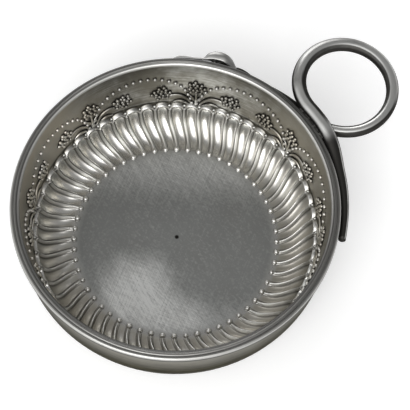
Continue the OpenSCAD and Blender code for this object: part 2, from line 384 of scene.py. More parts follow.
class Metal(Plan):
    """The node tree of a silver, with the places in millimetres and the noise that its parts share."""

    def __init__(self, tree):
        super().__init__(tree)
        place = self.node("ShaderNodeTexCoord")["Object"]
        parts = self.node("ShaderNodeSeparateXYZ", None, {"Vector": place})
        self.x, self.y, self.height = (parts[axis] * (1 / MM) for axis in ("X", "Y", "Z"))
        self.radius = (self.x * self.x + self.y * self.y) ** 0.5
        self.angle = self.math("ARCTAN2", self.y, self.x)
        self.crosswise = self.x * cosd(FAR_BEARING) + self.y * sind(FAR_BEARING)
        self.sideways = self.x * sind(FAR_BEARING) - self.y * cosd(FAR_BEARING)
        self.clouds = self.noise(place, 90.0, 4.0, 0.6)
        self.specks = self.noise(place, 1400.0, 2.0, 0.6)

    def away_from(self, x, y):
        """Distance from the upright line through a place."""
        return ((self.x - x) * (self.x - x) + (self.y - y) * (self.y - y)) ** 0.5

    def shelter(self, reach, inside=False):
        """Light that reaches a point past what is within reach, outside the metal or inside it."""
        return self.node("ShaderNodeAmbientOcclusion", {"samples": 6, "inside": inside},
                         {"Distance": reach * MM})["AO"]

    def scratches(self):
        """Long scratches on the floor."""
        lines = []
        for turn, fineness in SCRATCHES:
            along = self.x * sind(turn) - self.y * cosd(turn)
            across = self.x * cosd(turn) + self.y * sind(turn)
            lines.append(self.noise(self.vector(along * 0.06, across * fineness, turn), 1.0, 3.0, 0.6) - 0.5)
        return sum(lines)

    def round_lines(self):
        """Fine lines round the wall."""
        place = self.vector(self.angle * 6.0, self.height * 5.0, self.radius * 0.4)
        return self.noise(place, 1.0, 3.0, 0.6) - 0.5

    def lightened(self):
        """Where the floor is lighter: in two spots, and with painted light along the far and near sides."""
        spots = sum((1 - self.smooth(self.away_from(x, y) + (self.clouds - 0.5) * 8, 1.0, reach)) * strength
                    for x, y, reach, strength in LIGHT_SPOTS)
        # Painted light along the far and near sides
        far_side = self.smooth(self.crosswise, 8.0, 24.0) * 0.6
        near_side = self.smooth(0 - self.crosswise, 13.0, 25.0) * 0.35
        return spots + far_side + near_side

    def floor_tone(self, marks):
        lightened = self.lightened()
        # Scratches, specks, lighter spots and painted light along two sides
        bright = lightened * 0.94 + marks * (0.3 + lightened * 0.9) + (self.specks - 0.5) * 0.5
        return self.blend(bright, FLOOR_DULL, FLOOR_BRIGHT)

    def wall_tone(self):
        """Brown that is lighter on one side, with painted shade that makes it darkest on the far side."""
        brown = self.blend(self.smooth(self.sideways, -30.0, 10.0), WALL_LIGHT, WALL_BROWN)
        return self.blend(self.smooth(self.crosswise, 22.0, 36.0), brown, WALL_FAR_SHADE)

    def lip_tone(self):
        """Dull, with a painted highlight on the inner edge on the far side."""
        edge = self.smooth(self.crosswise, -26.0, 26.0) * (1 - self.smooth(self.radius, *LIP_INNER_EDGE))
        return self.blend(edge, LIP_DULL, LIP_PAINTED_HIGHLIGHT)

    def streaks(self):
        """Brushed lines round the outside."""
        brushed = self.noise(self.vector(self.angle * 5.0, self.height * 1.2, 0.0), 1.0, 3.0, 0.7)
        return self.blend(self.smooth(brushed, 0.34, 0.66), STREAK_DARK, STREAK_LIGHT)


def silver(name, tone, gloss, tarnish_and_shade, wear=0.7, far_shade=0.0, wall=0.0, floor=0.0):
    """Aged silver, dark in the recesses and bright on worn edges, with some painted light and shade.

    Gloss is the roughness of clean metal. The next three are the strengths of the dark, which is tarnish and
    painted shade, of the bright edges, and of painted shade on the far side. Wall and floor are 1 where the
    looks of the bowl's parts are wanted.
    """
    material = bpy.data.materials.new(name)
    material.use_nodes = True
    metal = Metal(material.node_tree)
    clouds = metal.clouds
    outside = metal.mark("outside")
    ledge = metal.mark("ledge")
    flute = metal.mark("hollow")

    # Parts of the bowl, and the fine marks of each
    low = 1 - metal.smooth(metal.height, *FLOOR_HIGHEST)
    on_floor = (1 - metal.smooth(metal.radius, *FLOOR_EDGE)) * low * (1 - outside) * floor
    on_lip = metal.smooth(metal.height, *LIP_START) * wall
    above_flutes = metal.math("MAXIMUM", metal.smooth(metal.height, *WALL_START), ledge)
    on_wall = above_flutes * wall * (1 - on_lip) * (1 - outside)
    marks = on_floor * metal.scratches() + (on_wall + outside * wall) * metal.round_lines()
    # Painted light: the flutes are lighter towards the far side
    far_flute_light = metal.smooth(metal.crosswise - metal.sideways * 0.35 + (clouds - 0.5) * 20, -14.0, 24.0)
    # Painted shade on the far side, which also takes the bright lines away there
    far = metal.smooth(metal.crosswise, 4.0, 34.0) * far_shade

    # Tarnish gathers where the surface is sheltered, soil and painted shade lie where the mesh marks them,
    # and edges are worn clean
    wear_and_highlight = metal.mark("wear_and_highlight") * (1 - far)
    edges = metal.smooth(1 - metal.shelter(0.5, inside=True), 0.3, 0.75) * (1 - on_lip * 0.85) * wear
    worn_and_lit = metal.math("MAXIMUM", wear_and_highlight, edges)
    deep = (metal.smooth(1 - metal.shelter(1.4) + (clouds - 0.5) * 0.25, 0.15, 0.55)
            * (1 - wear_and_highlight * 0.9) * (1 - on_lip * 0.8) * tarnish_and_shade)
    soil_and_shade = metal.smooth(metal.mark("soil_and_shade") + (clouds - 0.5) * 0.35, 0.25, 0.8) * tarnish_and_shade
    pit = (1 - metal.smooth(metal.away_from(*PIT), *PIT_EDGE)) * on_floor
    dark = metal.math("MAXIMUM", deep, metal.math("MAXIMUM", soil_and_shade, pit))

    # Colour, from the plain metal up to the soil and painted shade that lie on it
    # Painted shade on the far side
    colour = metal.blend(far, (*tone, 1), FAR_PAINTED_SHADE)
    # Brown tarnish on the wall, with painted shade on its far side
    colour = metal.blend(on_wall * metal.smooth(clouds + marks * 0.5, 0.15, 0.6), colour, metal.wall_tone())
    colour = metal.blend(ledge * 0.8, colour, LEDGE_DARK)
    colour = metal.blend(on_lip, colour, metal.lip_tone())
    # Flutes with painted light towards the far side
    colour = metal.blend(flute * metal.smooth(clouds, 0.2, 0.5), colour,
                         metal.blend(far_flute_light, FLUTE_DULL, FLUTE_PAINTED_LIGHT))
    # Floor with scratches, lighter spots and painted light along the far and near sides
    colour = metal.blend(on_floor, colour, metal.floor_tone(marks))
    colour = metal.blend(outside, colour, metal.streaks())
    # Worn edges and painted highlight lines are lightened
    colour = metal.blend(worn_and_lit * 0.8, colour, WEAR_AND_HIGHLIGHT_BRIGHT)
    colour = metal.blend(metal.smooth(clouds, 0.35, 0.75) * 0.35, colour, CLOUD_TINT, "MULTIPLY")
    # Tarnish, soil and painted shade darken the colour
    colour = metal.blend(dark, colour, TARNISH_SOIL_AND_SHADE_DARK)

    roughness = (gloss + on_floor * 0.16 + on_wall * 0.1 + outside * 0.15 + (deep + soil_and_shade) * 0.2
                 + (clouds - 0.5) * 0.12 + marks * 0.12 + wear_and_highlight * 0.08 + on_lip * 0.22
                 + flute * (1 - far_flute_light) * 0.22)
    relief = marks * 0.8 + (metal.specks - 0.5) * 0.25 + (clouds - 0.5) * 0.8
    bump = metal.node("ShaderNodeBump", None, {"Strength": 0.5, "Distance": 0.02 * MM, "Height": relief})
    shader = material.node_tree.nodes["Principled BSDF"]
    for socket, value in (("Base Color", colour), ("Roughness", roughness), ("Normal", bump)):
        metal.tree.links.new(value.socket, shader.inputs[socket])
    shader.inputs["Metallic"].default_value = 1.0
    shader.inputs["Specular Tint"].default_value = (0.4, 0.4, 0.4, 1)
    return material


bowl_silver = silver("bowl_silver", (0.6, 0.595, 0.57), gloss=0.25, tarnish_and_shade=0.92, wall=1.0, floor=1.0)
# The rim carries painted shade on its far side
rim_silver = silver("rim_silver", (0.4, 0.397, 0.38), gloss=0.37, tarnish_and_shade=0.6, far_shade=0.9)
serpent_silver = silver("serpent_silver", (0.64, 0.64, 0.625), gloss=0.3, tarnish_and_shade=0.97)
solder_silver = silver("solder_silver", (0.24, 0.237, 0.226), gloss=0.36, tarnish_and_shade=1.0, wear=0.0)


# Bowl

# Columns of points across one flute, as shares of its width, and rows on the floor and the foot, as radii
RIDGE_COLUMNS = [0.0, 0.025, 0.05, 0.08, 0.12, 0.2, 0.3, 0.4, 0.5, 0.6, 0.7, 0.8, 0.88, 0.92, 0.95, 0.975]
FLOOR_ROWS = [6.0, 12.0, 18.0, 22.0, 24.5, 25.5, 26.0, 26.4, 26.7]
FOOT_ROW = 12.0
RIDGE_FLAT = 0.3


def sheet_profile():
    """Rows of the bowl as (r, z, outward r, outward z, degrees along the corner, side).

    The side is 1 on the floor and the corner, 0 on the wall and the lip and -1 on the plain outside.
    """
    rows = []
    for radius in FLOOR_ROWS:
        rows.append((radius, SHEET_T, 0.0, -1.0, (radius - FLOOR_R) * DEGREES_PER_MM, 1))
    for angle in np.concatenate([np.arange(0, 50, 2.0), np.arange(50, ARC_END + 0.1, 1.24)]):
        radius = FLOOR_R + CORNER_R * sind(angle)
        height = ARC_Z - CORNER_R * cosd(angle)
        rows.append((radius, height, sind(angle), -cosd(angle), angle, 1))
    for share in (0.02, 0.1, 0.3, 0.65, 1.0):
        height = mix(WALL_FOOT_Z, BOWL_H - SHEET_T / 2, share)
        rows.append((wall_in(height), height, 1.0, 0.0, ARC_END, 0))
    for turn in np.linspace(160, 0, 9):
        radius = LIP_R + SHEET_T / 2 * (1 + cosd(turn))
        height = BOWL_H - SHEET_T / 2 * (1 - sind(turn))
        rows.append((radius, height, 1.0, 0.0, ARC_END, 0))
    for angle in np.linspace(90, 0, 16):
        radius = OUTER_R - FOOT_R * (1 - sind(angle))
        height = FOOT_R * (1 - cosd(angle))
        rows.append((radius, height, 1.0, 0.0, ARC_END, -1))
    rows.append((FOOT_ROW, 0.0, 0.0, -1.0, ARC_END, -1))
    return rows


def bowl_base():
    """The plain sheet, with marks that say where each of its points lies."""
    rows = sheet_profile()
    turns = np.array([flute + share for flute in range(FLUTES) for share in RIDGE_COLUMNS])
    angles = np.radians(turns * 360 / FLUTES)
    count = len(turns)
    points = [np.stack([r * np.cos(angles), r * np.sin(angles), np.full(count, z)], 1) for r, z, *_ in rows]
    outward = [np.stack([nr * np.cos(angles), nr * np.sin(angles), np.full(count, nz)], 1)
               for _, _, nr, nz, _, _ in rows]
    middle = np.array([[0, 0, SHEET_T], [0, 0, 0]])
    faces = skin_faces(len(rows), count)[2:]
    inner_pole = len(rows) * count
    last = (len(rows) - 1) * count
    for j in range(count):
        k = (j + 1) % count
        faces.append([inner_pole, k, j])
        faces.append([inner_pole + 1, last + j, last + k])
    base = mesh_object("bowl_base", np.concatenate([*points, middle]), faces)
    give_marks(base, {
        "turn": np.concatenate([np.tile(turns, len(rows)), [0, 0]]),
        "along": np.concatenate([np.repeat([row[4] for row in rows], count), [-90, -90]]),
        "inside": np.concatenate([np.repeat([float(row[5] > 0) for row in rows], count), [1, 0]]),
        "outside": np.concatenate([np.repeat([float(row[5] < 0) for row in rows], count), [0, 1]]),
    })
    normals = np.concatenate([*outward, [[0, 0, -1], [0, 0, -1]]]).astype(np.float32)
    base.data.attributes.new("outward", "FLOAT_VECTOR", "POINT").data.foreach_set("vector", normals.ravel())
    return base


def make_bowl():
    """The sheet with its flutes, the ridges and arches between them and the ledge above."""
    shape = Shape("fluted_sheet", {"Flute Depth": FLUTE_DEPTH, "Flute Start": 26.0, "Flute Top": FLUTE_TOP,
                                   "Ridge Raise": 0.4, "Ridge Half Width": 0.44, "Ledge": LEDGE_W,
                                   "Top Sway": 1.0})
    turn = shape.attribute("turn")
    along = shape.attribute("along")
    inside = shape.attribute("inside")
    number = shape.math("FLOOR", turn)
    sway = shape.random(-1.0, 1.0, 11, ID=number) * shape.size("Top Sway")

    # Distance in millimetres from the edge of a flute, which ends in a round arch
    spot = shape.node("ShaderNodeSeparateXYZ", None, {"Vector": shape.node("GeometryNodeInputPosition")})
    radius = (spot["X"] * spot["X"] + spot["Y"] * spot["Y"]) ** 0.5 * (1 / MM)
    half = radius * (math.pi / FLUTES)
    across = (turn - number - 0.5) * half * 2
    rise = shape.math("MAXIMUM", (along - shape.size("Flute Top") - sway) / DEGREES_PER_MM + half, 0.0)
    edge = half - (across * across + rise * rise) ** 0.5
    share = shape.node("ShaderNodeClamp", None, {"Value": (edge - RIDGE_FLAT) / (half - RIDGE_FLAT)})
    hollow = (1 - (1 - share) * (1 - share)) ** 0.5
    depth = shape.size("Flute Depth") * hollow * shape.smooth(along, 0.0, shape.size("Flute Start"))
    off_line = shape.math("MINIMUM", abs(edge) / shape.size("Ridge Half Width"), 1.0)
    line = (1 - off_line * off_line) ** 2
    raised = shape.size("Ridge Raise") * line * shape.smooth(along, -4.0, 3.0)
    ledge = shape.size("Ledge") * shape.smooth(0 - edge, 0.15, 0.6)
    push = shape.node("ShaderNodeVectorMath", {"operation": "SCALE"},
                      {"Vector": shape.attribute("outward", "FLOAT_VECTOR"),
                       "Scale": inside * (depth - raised + ledge) * MM})

    # Marks for the silver: ridges are worn, less so at the arches, and painted shade lies in the groove
    # beside them
    arch = shape.smooth(along, FLUTE_TOP - 16, FLUTE_TOP - 6)
    worn_line = (1 - shape.smooth(abs(edge), 0.22, 0.46)) * shape.smooth(along, -4.0, 3.0) * (1 - arch * 0.75)
    groove = (shape.smooth(edge, 0.32, 0.5) - shape.smooth(edge, 0.6, 1.05)) * shape.smooth(along, 0.0, 6.0)
    marks = {"ledge": shape.smooth(0 - edge, 0.3, 0.65), "soil_and_shade": groove * 0.7, "wear_and_highlight": worn_line,
             "hollow": hollow * shape.smooth(along, 0.0, 8.0)}
    marked = shape.start["Geometry"]
    for name, value in marks.items():
        marked = shape.keep(marked, name, inside * value)
    moved = shape.node("GeometryNodeSetPosition", None, {"Geometry": marked, "Offset": push})
    shape.finish(shape.swirl(moved, turn, along), bowl_silver)
    return shape.run(bowl_base(), "bowl_sheet")


# Beads at both ends of each ridge

FLOOR_BEAD_R = 0.74
TOP_BEAD_R = 0.42


def make_ridge_beads():
    """One bead at the floor end of each ridge and a smaller one at its top, between two arches."""
    top_along = FLUTE_TOP - 3.0
    top_radius = FLOOR_R + CORNER_R * sind(top_along) + 0.5
    top_height = ARC_Z - CORNER_R * cosd(top_along)
    foot = (FLOOR_R + 0.1, SHEET_T + 0.12, 0.0, FLOOR_BEAD_R)
    top = (top_radius, top_height, top_along, TOP_BEAD_R)
    beads = [(*bead, flute) for bead in (foot, top) for flute in range(FLUTES)]
    places = [polar(radius, 360 * flute / FLUTES, height) for radius, height, _, _, flute in beads]
    base = mesh_object("bead_base", places, [])
    give_marks(base, {"turn": [bead[4] for bead in beads], "along": [bead[2] for bead in beads],
                      "size": [bead[3] * MM for bead in beads]})
    shape = Shape("ridge_beads", {"Size Spread": 0.12})
    placed = shape.swirl(shape.start["Geometry"], shape.attribute("turn"), shape.attribute("along"))
    ball = shape.node("GeometryNodeMeshUVSphere", None, {"Segments": 14, "Rings": 8, "Radius": 1.0})
    worn_ball = shape.keep(ball, "wear_and_highlight", 0.85)
    size = shape.attribute("size") * (1 + shape.random(-1.0, 1.0, 2) * shape.size("Size Spread"))
    shape.finish(shape.put_on(placed, worn_ball, size), bowl_silver)
    return shape.run(base, "ridge_beads")


# Grape sprigs and bead swags on the inside of the wall

SPRIGS = 8
SPRIG_PHASE = -1.5
SPRIG_GAP = math.radians(360 / SPRIGS) * wall_in(WALL_FOOT_Z + 11)
GRAPE_R = 0.56
GRAPE_STEP = 1.18
GRAPE_JITTER = 0.16
SWAG_BEAD_R = 0.5


def wall_place(across, up, lift):
    """A place that stands off the wall, beside a sprig's middle and above the foot of the wall."""
    height = WALL_FOOT_Z + up * cosd(WALL_TILT)
    radius = wall_in(max(height, WALL_FOOT_Z))
    return polar(radius - lift, math.degrees(across / radius), height)


def cluster(across, up, half_w, half_h, lean):
    """Grapes packed in rows inside an oval, as places beside a sprig's middle and above its foot."""
    grapes = []
    for row in range(-4, 5):
        for column in range(-4, 5):
            x = (column + 0.5 * (row % 2) + GRAPE_JITTER * sind(197 * row + 71 * column)) * GRAPE_STEP
            y = (row + GRAPE_JITTER * sind(113 * row + 229 * column)) * GRAPE_STEP * 0.96
            narrow = 1 - 0.25 * (y / half_h)
            if (x / (half_w * narrow)) ** 2 + (y / half_h) ** 2 < 1:
                beside = x * cosd(lean) - y * sind(lean)
                above = x * sind(lean) + y * cosd(lean)
                grapes.append((across + beside, up + above))
    return grapes


def arc_line(start, bend, end, steps=9):
    """Points of a curve from start to end that leans towards bend."""
    shares = np.linspace(0, 1, steps)[:, None]
    start, bend, end = (np.array(p, float) for p in (start, bend, end))
    return (1 - shares) ** 2 * start + 2 * shares * (1 - shares) * bend + shares ** 2 * end


def sprig_stems():
    """Lines of one sprig as (start, bend, end, radius at the start, middle and end)."""
    stems = [((0, -1.8), (0, 1.5), (0, 4.6), 0.5, 0.42, 0.34)]
    for side in (-1, 1):
        stems.append(((side * 0.9, -1.5), (side * 2.6, 4.2), (side * 7.0, 3.0), 0.36, 0.42, 0.34))
        stems.append(((side * 1.7, -1.3), (side * 4.0, 1.6), (side * 6.3, -0.2), 0.3, 0.5, 0.12))
        stems.append(((side * 0.1, 0.4), (side * 0.7, 2.0), (side * 1.8, 3.2), 0.24, 0.5, 0.12))
    return stems


def make_grapes():
    """Three bunches of grapes on each sprig."""
    grapes = cluster(across=0.2, up=7.1, half_w=2.5, half_h=2.75, lean=0)
    for side in (-1, 1):
        grapes += cluster(across=side * 9.6, up=4.0, half_w=2.6, half_h=2.9, lean=-side * 12)
    base = mesh_object("grape_base", [wall_place(x, y, 0.22) for x, y in grapes], [])
    shape = Shape("grape_clusters", {"Grape Size": GRAPE_R * MM, "Sway": 0.5})
    ball = shape.node("GeometryNodeMeshIcoSphere", None, {"Radius": 1.0, "Subdivisions": 2})
    size = shape.size("Grape Size") * shape.random(0.86, 1.1, 5)
    bunch = shape.put_on(shape.start["Geometry"], ball, size)
    solid = shape.node("GeometryNodeRealizeInstances", None, {"Geometry": bunch})
    shape.finish(shape.copies_round(solid, SPRIGS, SPRIG_PHASE, shape.size("Sway")), bowl_silver)
    return shape.run(base, "grape_clusters")


def make_stems():
    """Round bars along the lines of each sprig."""
    lines = []
    for start, bend, end, r0, r1, r2 in sprig_stems():
        places = arc_line(start, bend, end)
        shares = np.linspace(0, 1, len(places))
        radii = np.interp(shares, [0, 0.5, 1], [r0, r1, r2])
        lines.append([(wall_place(x, y, 0.2), radius) for (x, y), radius in zip(places, radii)])
    base = curve_object("stem_base", lines)
    shape = Shape("sprig_stems", {"Sway": 0.5})
    round_bar = shape.node("GeometryNodeCurvePrimitiveCircle", None, {"Resolution": 10, "Radius": 1.0})
    bars = shape.node("GeometryNodeCurveToMesh", None,
                      {"Curve": shape.start["Geometry"], "Profile Curve": round_bar,
                       "Scale": shape.node("GeometryNodeInputRadius"), "Fill Caps": True})
    shape.finish(shape.copies_round(bars, SPRIGS, SPRIG_PHASE, shape.size("Sway")), bowl_silver)
    return shape.run(base, "sprig_stems")


def make_swags():
    """Strings of beads that rise from each sprig and arch over to the next."""
    rise = arc_line((1.2, -0.2), (2.6, 7.0), (6.5, 8.8), 30)
    arch = arc_line((6.5, 8.8), (10, 10.9), (SPRIG_GAP / 2, 11.1), 40)
    line = np.concatenate([rise, arch[1:]])
    run = np.concatenate([[0], np.cumsum(np.linalg.norm(np.diff(line, axis=0), axis=1))])
    marks = np.linspace(0, run[-1], 11)
    beads = np.stack([np.interp(marks, run, line[:, 0]), np.interp(marks, run, line[:, 1])], 1)
    places = [(x, y) for x, y in beads] + [(SPRIG_GAP - x, y) for x, y in beads[:-1]]
    base = mesh_object("swag_base", [wall_place(x, y, 0.2) for x, y in places], [])
    shape = Shape("bead_swags", {"Bead Size": SWAG_BEAD_R * MM, "Sway": 0.3})
    ball = shape.node("GeometryNodeMeshIcoSphere", None, {"Radius": 1.0, "Subdivisions": 2})
    worn_ball = shape.keep(ball, "wear_and_highlight", 0.6)
    size = shape.size("Bead Size") * shape.random(0.9, 1.12, 8)
    string = shape.put_on(shape.start["Geometry"], worn_ball, size)
    solid = shape.node("GeometryNodeRealizeInstances", None, {"Geometry": string})
    shape.finish(shape.copies_round(solid, SPRIGS, SPRIG_PHASE, shape.size("Sway")), bowl_silver)
    return shape.run(base, "bead_swags")


# Rim moulding and its solder line

# Power of the moulding's section: 1 is round, and less is squarer
RIM_SQUARENESS = 0.6


def painted_under_shade(turn, top):
    """Painted shade on a round section, from none above a height, as a share of its radius, to full
    underneath.
    """
    return smooth(sind(turn), top, top - 0.75)


def swept_ring(name, section, material, unevenness, marks, steps=360):
    """Carries a closed section, as (r, z) points, round the axis with a slight hand-made waver inwards."""
    angles = np.arange(steps) * 360 / steps
    rows = []
    for angle in angles:
        waver = 0.01 + unevenness * (0.5 + 0.3 * sind(angle * 5 + 40) + 0.2 * sind(angle * 13))
        rows.append([polar(r - waver, angle, z) for r, z in section])
    count = len(section)
    faces = []
    for i in range(steps):
        n = (i + 1) % steps
        for j in range(count):
            k = (j + 1) % count
            faces.append([i * count + j, i * count + k, n * count + k, n * count + j])
    ring = mesh_object(name, np.concatenate(rows), faces, material)
    give_marks(ring, {mark: np.tile(values, steps) for mark, values in marks.items()})
    return ring


def signed_power(value, power):
    return math.copysign(abs(value) ** power, value)


def make_rim():
    """The moulding, squarer above its outer edge, with painted shade below and by the lip and a painted
    highlight line between.
    """
    flat_x = OUTER_R + FIT
    half_turn = math.degrees(math.acos((flat_x - MOULDING_X) / MOULDING_R))
    turns = np.linspace(half_turn, -half_turn, 36)
    section = []
    for turn in turns:
        power = RIM_SQUARENESS if 0 < turn < 90 else 1.0
        section.append((MOULDING_X + MOULDING_R * signed_power(cosd(turn), power),
                        MOULDING_Z + MOULDING_R * signed_power(sind(turn), power)))
    # Painted shade below the moulding and towards the lip, and a painted highlight line round its outer top
    marks = {"soil_and_shade": [max(painted_under_shade(turn, 0.62), 0.8 * smooth(turn, 55, 75)) for turn in turns],
             "wear_and_highlight": [0.48 * math.exp(-((turn - 36) / 13) ** 2) for turn in turns]}
    return swept_ring("rim_band", section, rim_silver, 0.02, marks)


def make_rim_solder():
    """The line of solder in the groove between the lip and the moulding."""
    low = MOULDING_Z + MOULDING_R - 0.12
    section = [(OUTER_R - 0.25, low + 0.48), (OUTER_R + 0.3, low + 0.31), (MOULDING_X + 0.35, low + 0.09),
               (OUTER_R + 0.02, low)]
    return swept_ring("rim_solder_line", section, solder_silver, 0.0, {"soil_and_shade": [0.2] * len(section)})


# Serpent

# The wire, by angles round the bowl and round the ring, and by droops below the middle of the rim
RING_LINE_R = RING_R + (WIRE_R + LIMB_R) / 2
RING_X = RIM_R + SOLDER_W + WIRE_R + RING_LINE_R
LIMB_LEAVE = 4.0
LIMB_SETTLE = 23.0
LIMB_OUT = 1.0
NECK_LEVEL = 1.0
RING_START = 228.0
RING_END = 540.0
TAIL_LEAVE = -6.0
TAIL_SETTLE = -26.0
TAIL_DROOP = 38.0
HEAD_DROOP = 50.0
LIMB_Z = MOULDING_Z - WIRE_R - LIMB_R - FIT
LIMB_X = OUTER_R + FIT + LIMB_R

# Sections of the wire along its neck and limb, their join to the ring, the ring and the tail
LIMB_STEPS = 53
JOIN_STEPS = 18
RING_STEPS = 133
TAIL_STEPS = 67


def round_rim(reach, below, angle):
    """A place round the middle of the moulding."""
    return polar(MOULDING_X + reach * cosd(below), angle, MOULDING_Z - reach * sind(below))


def bezier(a, b, c, d, share):
    rest = 1 - share
    return a * rest ** 3 + 3 * b * share * rest ** 2 + 3 * c * share ** 2 * rest + d * share ** 3


def wire_line():
    """Sections of the wire from the neck to the tail as (place, half thickness across, half height)."""
    limb_reach = math.hypot(LIMB_X - MOULDING_X, LIMB_Z - MOULDING_Z)
    limb_below = math.degrees(math.atan2(MOULDING_Z - LIMB_Z, LIMB_X - MOULDING_X))
    neck = []
    for angle in np.linspace(HEAD_ANGLE, LIMB_LEAVE, LIMB_STEPS):
        up = smooth(angle, LIMB_SETTLE, HEAD_ANGLE - NECK_LEVEL)
        out = LIMB_OUT * smooth(angle, LIMB_SETTLE, LIMB_LEAVE)
        half = mix(LIMB_R, NECK_R, up)
        reach = mix(limb_reach, MOULDING_R + SOLDER_W + NECK_R, up)
        place = round_rim(reach, mix(limb_below, HEAD_DROOP, up), angle)
        neck.append((place + polar(out, angle, 0), half, half))
    ring = []
    for share in np.linspace(0, 1, RING_STEPS):
        angle = mix(RING_START, RING_END, share)
        half = mix(LIMB_R, WIRE_R, share)
        height = mix(LIMB_Z, MOULDING_Z, smooth(share, 0, 1))
        place = np.array([RING_X + RING_LINE_R * cosd(angle), RING_LINE_R * sind(angle), height])
        ring.append((place, half, half))
    tail = []
    for angle in np.linspace(0, -TAIL_ANGLE, TAIL_STEPS)[1:]:
        down = smooth(angle, TAIL_LEAVE, TAIL_SETTLE)
        taper = smooth(angle, TAIL_LEAVE, -TAIL_ANGLE)
        half = mix(WIRE_R, TAIL_R, taper)
        half_h = mix(WIRE_R, TAIL_HALF_H, taper)
        reach = MOULDING_R + mix(SOLDER_W, FIT, down) + max(half, half_h)
        tail.append((round_rim(reach, TAIL_DROOP * down, angle), half, half_h))
    start = neck[-1][0]
    end = ring[0][0]
    pull = np.linalg.norm(end - start) / 3
    leave = start - neck[-2][0]
    meet = ring[1][0] - end
    b = start + leave * pull / np.linalg.norm(leave)
    c = end - meet * pull / np.linalg.norm(meet)
    shares = np.linspace(0, 1, JOIN_STEPS)[1:-1]
    join = [(bezier(start, b, c, end, share), LIMB_R, LIMB_R) for share in shares]
    return neck + join + ring + tail


def tube_sections(line, sides, outline=None):
    """Closed sections square to a line. The outline can reshape a section by its angle and number."""
    places = np.array([place for place, _, _ in line])
    sections = []
    for i, (place, half_w, half_h) in enumerate(line):
        along = places[min(len(line) - 1, i + 1)] - places[max(0, i - 1)]
        along = along / np.linalg.norm(along)
        side = np.cross(along, (0, 0, 1))
        side = side / np.linalg.norm(side)
        up = np.cross(side, along)
        ring = []
        for k in range(sides):
            angle = 360 * k / sides
            swell = outline(i, angle) if outline else 1.0
            ring.append(place + side * half_w * swell * cosd(angle) + up * half_h * swell * sind(angle))
        sections.append(ring)
    return sections


def tube_object(name, sections, material, soil_and_shade):
    """A closed tube through sections. The soil and painted shade are given for a section's number and an
    angle round it.
    """
    sides = len(sections[0])
    tube = mesh_object(name, np.concatenate(sections), skin_faces(len(sections), sides), material)
    give_marks(tube, {"soil_and_shade": [soil_and_shade(i, 360 * k / sides) for i in range(len(sections)) for k in range(sides)]})
    return tube


def wire_painted_shade(i, angle):
    """Painted shade on a section of the wire at an angle round it, where 0 is the side away from the ring's
    middle: underneath, along the limb, on the near side, inside the ring, on the far top, along the strap and
    on the tail.

    Sections 0 to 52 are the limb, 69 to 201 the ring and those from 202 the tail.
    """
    outer = cosd(angle)
    limb = 0.9 * (1 - smooth(i, 46, 62))
    near_side = 0.9 * smooth(i, 58, 66) * (1 - smooth(i, 92, 118)) * smooth(outer, 0.35, 0.65)
    inside = 0.75 * (1 - smooth(i, 188, 200)) * smooth(-outer, 0.25, 0.53)
    far_top = 0.52 * smooth(i, 126, 142) * (1 - smooth(i, 184, 198)) * smooth(cosd(angle - 58), 0.6, 0.9)
    strap = 0.72 * smooth(i, 170, 186) * (1 - smooth(i, 206, 220)) * smooth(-outer, 0.02, 0.37)
    tail = 0.9 * smooth(i, 206, 224) * (1 - smooth(cosd(angle - 158), 0.78, 0.98))
    return max(painted_under_shade(angle, 1.0), limb, near_side, inside, far_top, strap, tail)


def make_serpent_body():
    """The wire that makes the limb, the finger ring and the tail strap."""
    shrink = 0.02
    line = [(place, half_w - shrink, half_h - shrink) for place, half_w, half_h in wire_line()]
    return tube_object("serpent_wire", tube_sections(line, 32), serpent_silver, wire_painted_shade)


# Outlines as (share of the length, half width, half height): the head's halves are shares of its own
HEAD_SHAPE = [(0.0, 0.66, 0.72), (0.05, 0.68, 0.74), (0.15, 0.74, 0.78), (0.35, 0.9, 0.92), (0.58, 1.0, 1.0),
              (0.76, 0.95, 0.9), (0.9, 0.72, 0.66), (1.0, 0.4, 0.36)]
TONGUE_SHAPE = [(0.08, 0.34, 0.3), (0.4, 0.32, 0.28), (0.62, 0.5, 0.36), (0.82, 0.58, 0.4), (1.0, 0.2, 0.15)]
HEAD_RISE = (0.05, 0.5)
HEAD_SWEEP = math.degrees(HEAD_L / RIM_R)
TONGUE_SWEEP = math.degrees(TONGUE_L / RIM_R)
HEAD_START = HEAD_ANGLE + 2 * FIT
HEAD_STEPS = 30
HEAD_SOIL = 0.45
MOUTH = 155.0
MOUTH_HALF = 9.0


def table(rows, share):
    """Half width and half height at a share of a length, from rows of (share, width, height)."""
    shares, widths, heights = zip(*rows)
    return np.interp(share, shares, widths), np.interp(share, shares, heights)


def mouth_at(share, angle):
    """1 in the slit of the mouth, on both sides of the head, and 0 away from it."""
    off = abs((angle - MOUTH + 180) % 360 - 180)
    other = abs((angle + MOUTH) % 360 - 180)
    return math.exp(-(min(off, other) / MOUTH_HALF) ** 2) * smooth(share, 0.3, 0.5)


